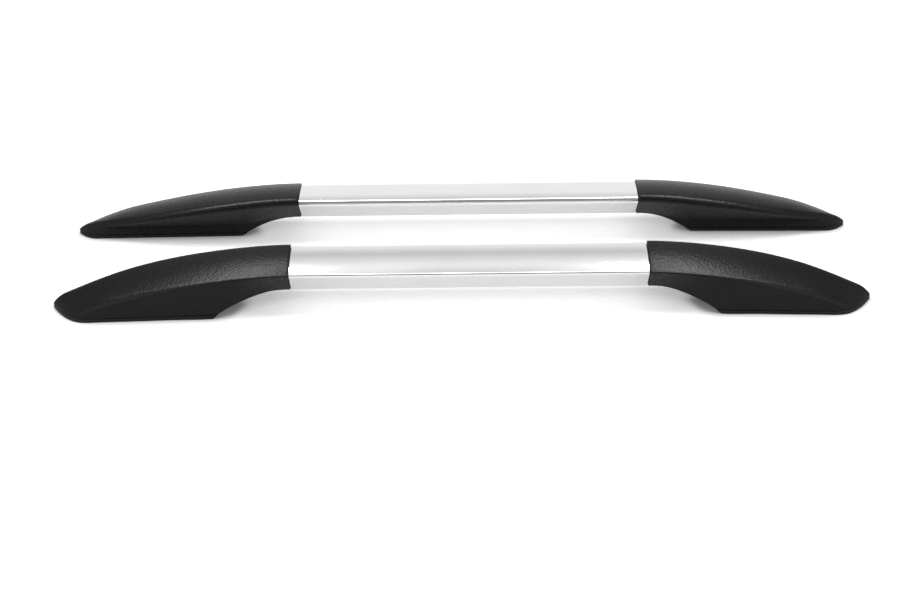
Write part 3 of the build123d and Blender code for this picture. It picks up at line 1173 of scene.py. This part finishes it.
@dataclass
class Studio:
    """White floor, soft light from above and a camera at the viewing angle of the photograph."""

    # The camera, fitted to the photograph.
    camera_place: Tuple[float, float, float] = (12.427, -1738.033, 1151.704)
    pitch_deg: float = 35.0
    yaw_deg: float = -0.482
    roll_deg: float = 0.89
    focal_px: float = 1641.31
    image_px: float = 920.0
    sensor_mm: float = 36.0
    clip_end: float = 100000.0
    # The paper, and how bright it is seen and mirrored, in the patch under the rails and further away.
    floor_size: float = 30000.0
    floor_colour: str = "#F6F6F6"
    seen_gain: float = 1.5
    mirrored_gain: float = 1.15
    floor_lift: float = 0.12
    backdrop_lift: float = 0.7
    rail_patch: Tuple[float, float] = (760.0, 420.0)
    patch_fade: Tuple[float, float] = (0.8, 1.6)
    # The painted shade on the paper right beside the feet, darkened by an ambient-occlusion test.
    painted_shade_reach: float = 15.0
    painted_shade_open: float = 0.5
    painted_shade_darkest: float = 0.42
    painted_shade_samples: int = 8
    # The room's levels, and the spans of a direction's X, Y or Z over which one fades into the next.
    fill_level: float = 0.48
    gap_level: float = 0.605
    side_level: float = 0.25
    front_level: float = 0.3
    wall_level: float = 0.85
    gap_fade: Tuple[float, float] = (0.03, 0.09)
    over_fade: Tuple[float, float] = (0.86, 0.97)
    side_fade: Tuple[float, float] = (0.15, 0.5)
    front_fade: Tuple[float, float] = (-0.1, 0.1)
    wall_fade: Tuple[float, float] = (0.55, 0.75)
    back_fade: Tuple[float, float] = (0.35, 0.6)
    strip_fade: Tuple[float, float] = (0.15, 0.3)
    room_greys: Tuple[Tuple[float, float], ...] = ((0.0, 0.94), (0.47, 0.94), (0.66, 0.595), (0.86, 0.93))
    softboxes: Tuple[Softbox, ...] = (
        Softbox("overhead", (0.0, 0.0, 1950.0), (1400.0, 500.0), 11.0),
        Softbox("front_left", (-1400.0, -1100.0, 1400.0), (1300.0, 1300.0), 7.0),
        Softbox("front_right", (1400.0, -1100.0, 1400.0), (1300.0, 1300.0), 7.0),
        Softbox("sheen_left", (-840.0, 400.0, 1900.0), (1300.0, 360.0), 38.0, gloss_only=True),
        Softbox("sheen_right", (840.0, 400.0, 1900.0), (1300.0, 360.0), 38.0, gloss_only=True),
    )

    def camera(self) -> None:
        """Places the camera."""
        pitch, yaw, roll = (math.radians(a) for a in (self.pitch_deg, self.yaw_deg, self.roll_deg))
        ahead = Vector((math.sin(yaw), math.cos(yaw), 0))
        right = Vector((math.cos(yaw), -math.sin(yaw), 0))
        forward = ahead * math.cos(pitch) - Vector((0, 0, math.sin(pitch)))
        up = ahead * math.sin(pitch) + Vector((0, 0, math.cos(pitch)))
        image_x = right * math.cos(roll) - up * math.sin(roll)
        image_y = right * math.sin(roll) + up * math.cos(roll)
        data = bpy.data.cameras.new("photo_camera")
        data.sensor_fit = "HORIZONTAL"
        data.sensor_width = self.sensor_mm
        data.lens = self.focal_px / self.image_px * self.sensor_mm
        data.clip_end = self.clip_end * MM
        camera = bpy.data.objects.new("photo_camera", data)
        turned = Matrix((image_x, image_y, -forward)).transposed().to_4x4()
        camera.matrix_world = Matrix.Translation(Vector(self.camera_place) * MM) @ turned
        bpy.context.scene.collection.objects.link(camera)
        bpy.context.scene.camera = camera

    def paper(self) -> bpy.types.Material:
        """Makes the floor's matt white paper, which shows white, keeps the shadow and has painted shade
        beside the feet.

        Returns:
            The material. It is clear from below, so that the undersides can be seen.
        """
        material = blank_material("studio_paper_matt_white")
        tree = material.node_tree
        place = add_node(tree, "ShaderNodeTexCoord").outputs["Object"]
        shares = [1 / (size * MM) for size in self.rail_patch]
        patch = add_node(tree, "ShaderNodeVectorMath", {0: place, 1: (*shares, 1.0)}, operation="MULTIPLY")
        away = add_node(tree, "ShaderNodeVectorMath", {0: patch.outputs["Vector"]}, operation="LENGTH")
        near, far = self.patch_fade
        around = add_node(
            tree,
            "ShaderNodeMapRange",
            {
                "Value": away.outputs["Value"],
                "From Min": near,
                "From Max": far,
                "To Min": self.floor_lift,
                "To Max": self.backdrop_lift,
            },
            interpolation_type="SMOOTHSTEP",
        ).outputs["Result"]
        path = add_node(tree, "ShaderNodeLightPath")
        camera = path.outputs["Is Camera Ray"]
        mirrored = add_node(
            tree,
            "ShaderNodeMath",
            {0: path.outputs["Is Glossy Ray"], 1: path.outputs["Is Transmission Ray"]},
            operation="MAXIMUM",
        ).outputs[0]
        seen = add_node(tree, "ShaderNodeMath", {0: mirrored, 1: camera}, operation="MAXIMUM").outputs[0]
        lift = add_node(tree, "ShaderNodeMath", {0: seen, 1: around}, operation="MULTIPLY").outputs[0]
        gain: Any = 1.0
        for ray, level in ((camera, self.seen_gain), (mirrored, self.mirrored_gain)):
            gain = add_node(
                tree, "ShaderNodeMath", {0: ray, 1: level - 1, 2: gain}, operation="MULTIPLY_ADD"
            ).outputs[0]
        colour = add_node(
            tree, "ShaderNodeVectorMath", {0: linear(self.floor_colour)[:3], "Scale": gain}, operation="SCALE"
        ).outputs["Vector"]
        matt = add_node(tree, "ShaderNodeBsdfDiffuse", {"Color": colour}).outputs["BSDF"]
        glow = add_node(tree, "ShaderNodeEmission", {"Strength": lift}).outputs["Emission"]
        white = add_node(tree, "ShaderNodeAddShader", {0: matt, 1: glow}).outputs["Shader"]
        # Painted shade: an ambient-occlusion test darkens the paper right beside the feet, as a contact
        # shadow that the bright floor would otherwise wash out.
        opening = add_node(
            tree,
            "ShaderNodeAmbientOcclusion",
            {"Distance": self.painted_shade_reach * MM},
            samples=self.painted_shade_samples,
        ).outputs["AO"]
        painted_contact_shade = add_node(
            tree,
            "ShaderNodeMapRange",
            {"Value": opening, "From Min": self.painted_shade_open, "To Min": self.painted_shade_darkest},
        ).outputs["Result"]
        # Mixing the white paper with black lays the painted contact shade on it.
        white_with_painted_shade = add_node(tree, "ShaderNodeMixShader", {0: painted_contact_shade, 2: white}).outputs["Shader"]
        below = add_node(tree, "ShaderNodeNewGeometry").outputs["Backfacing"]
        clear = add_node(tree, "ShaderNodeBsdfTransparent").outputs["BSDF"]
        sheet = add_node(tree, "ShaderNodeMixShader", {0: below, 1: white_with_painted_shade, 2: clear}).outputs["Shader"]
        add_node(tree, "ShaderNodeOutputMaterial", {"Surface": sheet})
        return material

    def floor(self) -> None:
        """Lays the floor."""
        half = self.floor_size * MM / 2
        corners = [(-half, -half, 0), (half, -half, 0), (half, half, 0), (-half, half, 0)]
        mesh = bpy.data.meshes.new("studio_floor")
        mesh.from_pydata(corners, [], [(0, 1, 2, 3)])
        mesh.materials.append(self.paper())
        floor = bpy.data.objects.new("studio_floor", mesh)
        bpy.context.scene.collection.objects.link(floor)

    def room(self, tree: bpy.types.NodeTree) -> bpy.types.NodeSocket:
        """Makes the room that gloss mirrors, bright overhead and dim in places, with pale walls.

        Args:
            tree: The world's node tree.

        Returns:
            The socket with the room's level in each direction.
        """
        way = add_node(tree, "ShaderNodeTexCoord").outputs["Generated"]
        axes = add_node(tree, "ShaderNodeSeparateXYZ", {"Vector": way}).outputs
        aside = add_node(tree, "ShaderNodeMath", {0: axes["X"]}, operation="ABSOLUTE").outputs[0]
        height = add_node(tree, "ShaderNodeValToRGB", {"Fac": axes["Z"]})
        while len(height.color_ramp.elements) < len(self.room_greys):
            height.color_ramp.elements.new(1.0)
        for stop, (place, grey) in zip(height.color_ramp.elements, self.room_greys):
            stop.position = place
            stop.color = (grey, grey, grey, 1.0)
        up, back = axes["Z"], axes["Y"]
        # Each step fades from one level to another as a part of the mirrored direction crosses its span.
        levels: Dict[Any, Any] = {"room": height.outputs["Color"]}
        for name, value, (low, high), first, last in (
            ("gap", aside, self.gap_fade, self.gap_level, "room"),
            ("over", up, self.over_fade, "room", "gap"),
            ("side", aside, self.side_fade, "over", self.side_level),
            ("front", back, self.front_fade, self.front_level, "side"),
            ("wall", up, self.wall_fade, self.wall_level, "front"),
            ("back", back, self.back_fade, "wall", "front"),
            ("beside", aside, self.strip_fade, "front", "back"),
        ):
            levels[name] = add_node(
                tree,
                "ShaderNodeMapRange",
                {
                    "Value": value,
                    "From Min": low,
                    "From Max": high,
                    "To Min": levels.get(first, first),
                    "To Max": levels.get(last, last),
                },
                interpolation_type="SMOOTHSTEP",
            ).outputs["Result"]
        return levels["beside"]

    def light(self) -> None:
        """Sets an even fill, with the room in reflections and white for the camera, and hangs the lamps."""
        world = bpy.data.worlds.new("studio_dome")
        bpy.context.scene.world = world
        world.use_nodes = True
        world.cycles.sampling_method = "NONE"
        tree = world.node_tree
        tree.nodes.clear()
        path = add_node(tree, "ShaderNodeLightPath").outputs
        # The mix node's plain numbers are its inputs 2 and 3 and its output 0.
        level: Any = self.fill_level
        for ray, other in (("Is Glossy Ray", self.room(tree)), ("Is Camera Ray", 1.0)):
            level = add_node(
                tree, "ShaderNodeMix", {"Factor": path[ray], 2: level, 3: other}, data_type="FLOAT"
            ).outputs[0]
        white = (1.0, 1.0, 1.0, 1.0)
        dome = add_node(tree, "ShaderNodeBackground", {"Color": white, "Strength": level})
        add_node(tree, "ShaderNodeOutputWorld", {"Surface": dome.outputs["Background"]})
        for softbox in self.softboxes:
            softbox.add()

    def set_up(self) -> None:
        """Makes the floor, the light, the camera and the view's colour transform."""
        self.floor()
        self.light()
        self.camera()
        bpy.context.scene.view_settings.view_transform = "Standard"
        LOG.info("set up the studio")


@dataclass
class Finishes:
    """The finishes of the rails, made once and shared by their pieces."""

    aluminium: bpy.types.Material = field(default_factory=lambda: SatinAluminium().material())
    plastic: bpy.types.Material = field(default_factory=lambda: GrainedAbs().material())
    rubber: bpy.types.Material = field(default_factory=lambda: GasketRubber().material())
    steel: bpy.types.Material = field(default_factory=lambda: ZincSteel().material())


@dataclass
class RoofRail:
    """One whole rail: its tube, two feet and what is fixed to them."""

    side: Side
    mouth: MouthOutline = MouthOutline()
    front_length: float = 294.0
    rear_length: float = 274.0
    front_heel: float = 94.0
    rear_heel: float = 88.0

    def feet(self, tube: RailTube) -> List[MouldedFoot]:
        """Gives the feet of the rail.

        Args:
            tube: The tube whose ends they hold.

        Returns:
            The front and the rear foot.
        """
        return [
            MouldedFoot(self.side, End.FRONT, self.mouth, self.front_length, self.front_heel, tube.front_x),
            MouldedFoot(self.side, End.REAR, self.mouth, self.rear_length, self.rear_heel, tube.rear_x),
        ]

    def dress(self, finishes: Finishes) -> None:
        """Builds and dresses every piece of the rail.

        Args:
            finishes: The shared finishes.
        """
        tube = RailTube(self.side, self.mouth)
        tube.dress(finishes.aluminium)
        for foot in self.feet(tube):
            foot.dress(finishes.plastic)
            TubeScrews(foot).dress(finishes.steel)
            HiddenFixings(foot).dress(finishes.steel, finishes.rubber)


def main() -> None:
    """Builds the rails in order, then the studio."""
    logging.basicConfig(level=logging.INFO, format="%(name)s: %(message)s")
    finishes = Finishes()
    for side in Side:
        RoofRail(side).dress(finishes)
    Studio().set_up()


if __name__ == "__main__":
    main()
